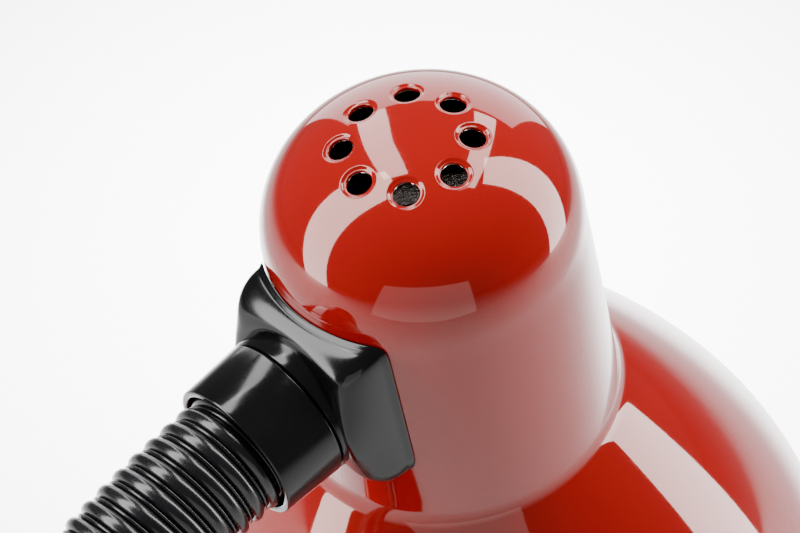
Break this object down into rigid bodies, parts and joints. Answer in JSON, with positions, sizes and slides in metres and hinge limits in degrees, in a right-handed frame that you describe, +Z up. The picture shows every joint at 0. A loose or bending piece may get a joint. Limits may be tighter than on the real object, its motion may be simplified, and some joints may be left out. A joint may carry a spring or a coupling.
{
  "type": "gooseneck desk lamp",
  "caption": "Desk lamp with a weighted round base, a flexible neck and a bell shade whose domed cap is vented, hinged to bend, swivel and take its bulb out.",
  "frame": {"origin": "on the desk, at the centre of the base's underside", "axes": "+Z up; the neck rises at +Y, the back, and carries the shade out to -Y, the front; +X to the right when seen from the front"},
  "size_m": [0.1584, 0.3163, 0.343],
  "materials": {
    "red_enamel": "glossy deep red enamel on sheet steel",
    "black_gloss": "glossy black moulding",
    "black_plate": "matt black painted steel",
    "neck": "black, satin, wound neck",
    "zinc": "zinc plated steel",
    "brass": "plain brass",
    "nickel": "nickel plated brass",
    "iron": "raw casting",
    "foam": "black foam rubber",
    "ceramic": "glazed white ceramic",
    "white_plastic": "white moulding",
    "black_matt": "matt black moulding",
    "glass": "frosted inside",
    "lead": "grey sheath"
  },
  "bodies": {
    "base": {"base_pad": "foam", "base_plate": "black_plate", "plate_screw_1": "zinc", "plate_screw_2": "zinc", "plate_screw_3": "zinc", "base_weight": "iron", "base_shell": "red_enamel", "switch_housing": "black_gloss", "switch_tab_1": "brass", "switch_tab_2": "brass", "terminal_block": "white_plastic", "terminal_screw_1": "zinc", "terminal_screw_2": "zinc", "cord_inlet_bush": "black_matt", "foot_collar": "black_gloss", "foot_ferrule": "zinc", "foot_washer": "zinc", "foot_nut": "zinc", "neck_root": "neck", "switch_lead_1": "lead", "switch_lead_2": "lead", "lamp_lead": "lead"},
    "rocker": {"switch_rocker": "black_gloss"},
    "link_01": {"neck_link_01": "neck"},
    "link_02": {"neck_link_02": "neck"},
    "link_03": {"neck_link_03": "neck"},
    "link_04": {"neck_link_04": "neck"},
    "link_05": {"neck_link_05": "neck"},
    "link_06": {"neck_link_06": "neck"},
    "link_07": {"neck_link_07": "neck"},
    "link_08": {"neck_link_08": "neck"},
    "link_09": {"neck_link_09": "neck"},
    "link_10": {"neck_link_10": "neck"},
    "link_11": {"neck_link_11": "neck"},
    "neck_end": {"neck_tip": "neck", "head_collar": "black_gloss", "head_ferrule": "zinc", "head_nut": "zinc"},
    "head": {"saddle": "black_gloss", "shade": "red_enamel", "inner_shim": "black_matt", "head_washer": "zinc", "holder_bracket": "zinc", "holder_nipple": "zinc", "holder_nut": "zinc", "holder_cap": "black_gloss", "holder_skirt": "black_gloss", "holder_insert": "ceramic", "holder_thread": "brass", "holder_contact": "brass"},
    "bulb_slide": {"bulb_contact": "nickel"},
    "bulb": {"bulb_insulator": "black_gloss", "bulb_shell": "nickel", "bulb_glass": "glass", "bulb_stem": "ceramic"}
  },
  "joints": [
    {"name": "neck_bend_01", "type": "hinge", "parent": "base", "child": "link_01", "pos_m": [0, 0.042, 0.06264], "axis": [1, 0, 0], "range_deg": [-10, 6], "deforming": ["lamp_lead"]},
    {"name": "neck_side_02", "type": "hinge", "parent": "link_01", "child": "link_02", "pos_m": [0, 0.042, 0.08793], "axis": [0, 1, 0], "range_deg": [-7, 7]},
    {"name": "neck_bend_03", "type": "hinge", "parent": "link_02", "child": "link_03", "pos_m": [0, 0.042, 0.11321], "axis": [1, 0, 0], "range_deg": [-10, 6]},
    {"name": "neck_side_04", "type": "hinge", "parent": "link_03", "child": "link_04", "pos_m": [0, 0.042, 0.1385], "axis": [0, 1, 0], "range_deg": [-7, 7]},
    {"name": "neck_bend_05", "type": "hinge", "parent": "link_04", "child": "link_05", "pos_m": [0, 0.04017, 0.16368], "axis": [1, 0, 0], "range_deg": [-10, 6]},
    {"name": "neck_side_06", "type": "hinge", "parent": "link_05", "child": "link_06", "pos_m": [0, 0.03425, 0.18824], "axis": [0, 0.9497, 0.3132], "range_deg": [-7, 7]},
    {"name": "neck_bend_07", "type": "hinge", "parent": "link_06", "child": "link_07", "pos_m": [0, 0.0244, 0.21149], "axis": [1, 0, 0], "range_deg": [-13, 8]},
    {"name": "neck_side_08", "type": "hinge", "parent": "link_07", "child": "link_08", "pos_m": [0, 0.01088, 0.23283], "axis": [0, 0.7979, 0.6028], "range_deg": [-7, 7]},
    {"name": "neck_bend_09", "type": "hinge", "parent": "link_08", "child": "link_09", "pos_m": [0, -0.00594, 0.25166], "axis": [1, 0, 0], "range_deg": [-13, 8]},
    {"name": "neck_side_10", "type": "hinge", "parent": "link_09", "child": "link_10", "pos_m": [0, -0.02562, 0.26749], "axis": [0, 0.5609, 0.8279], "range_deg": [-7, 7]},
    {"name": "neck_bend_11", "type": "hinge", "parent": "link_10", "child": "link_11", "pos_m": [0, -0.04762, 0.2799], "axis": [1, 0, 0], "range_deg": [-13, 8]},
    {"name": "neck_side_12", "type": "hinge", "parent": "link_11", "child": "neck_end", "pos_m": [0, -0.07135, 0.28854], "axis": [0, 0.2639, 0.9645], "range_deg": [-7, 7]},
    {"name": "head_swivel", "type": "hinge", "parent": "neck_end", "child": "head", "pos_m": [0, -0.08367, 0.29137], "axis": [0, -0.9829, 0.184], "range_deg": [-60, 60]},
    {"name": "bulb_out", "type": "slide", "parent": "head", "child": "bulb_slide", "axis": [0, -0.184, -0.9829], "range_m": [0, 0.018]},
    {"name": "bulb_turn", "type": "hinge", "parent": "bulb_slide", "child": "bulb", "pos_m": [0, -0.14394, 0.25799], "axis": [0, -0.184, -0.9829], "range_deg": [0, 1800]},
    {"name": "rocker_tilt", "type": "hinge", "parent": "base", "child": "rocker", "pos_m": [0, -0.04, 0.0257], "axis": [1, 0, 0], "range_deg": [-18, 0]}
  ],
  "couplings": [
    {"joint": "neck_bend_03", "follows": "neck_bend_01", "ratio": 1},
    {"joint": "neck_bend_05", "follows": "neck_bend_01", "ratio": 1},
    {"joint": "neck_bend_09", "follows": "neck_bend_07", "ratio": 1},
    {"joint": "neck_bend_11", "follows": "neck_bend_07", "ratio": 1},
    {"joint": "neck_side_04", "follows": "neck_side_02", "ratio": 1},
    {"joint": "neck_side_06", "follows": "neck_side_02", "ratio": 1},
    {"joint": "neck_side_08", "follows": "neck_side_02", "ratio": 1},
    {"joint": "neck_side_10", "follows": "neck_side_02", "ratio": 1},
    {"joint": "neck_side_12", "follows": "neck_side_02", "ratio": 1},
    {"joint": "bulb_turn", "follows": "bulb_out", "rad_per_m": 1745.3}
  ]
}
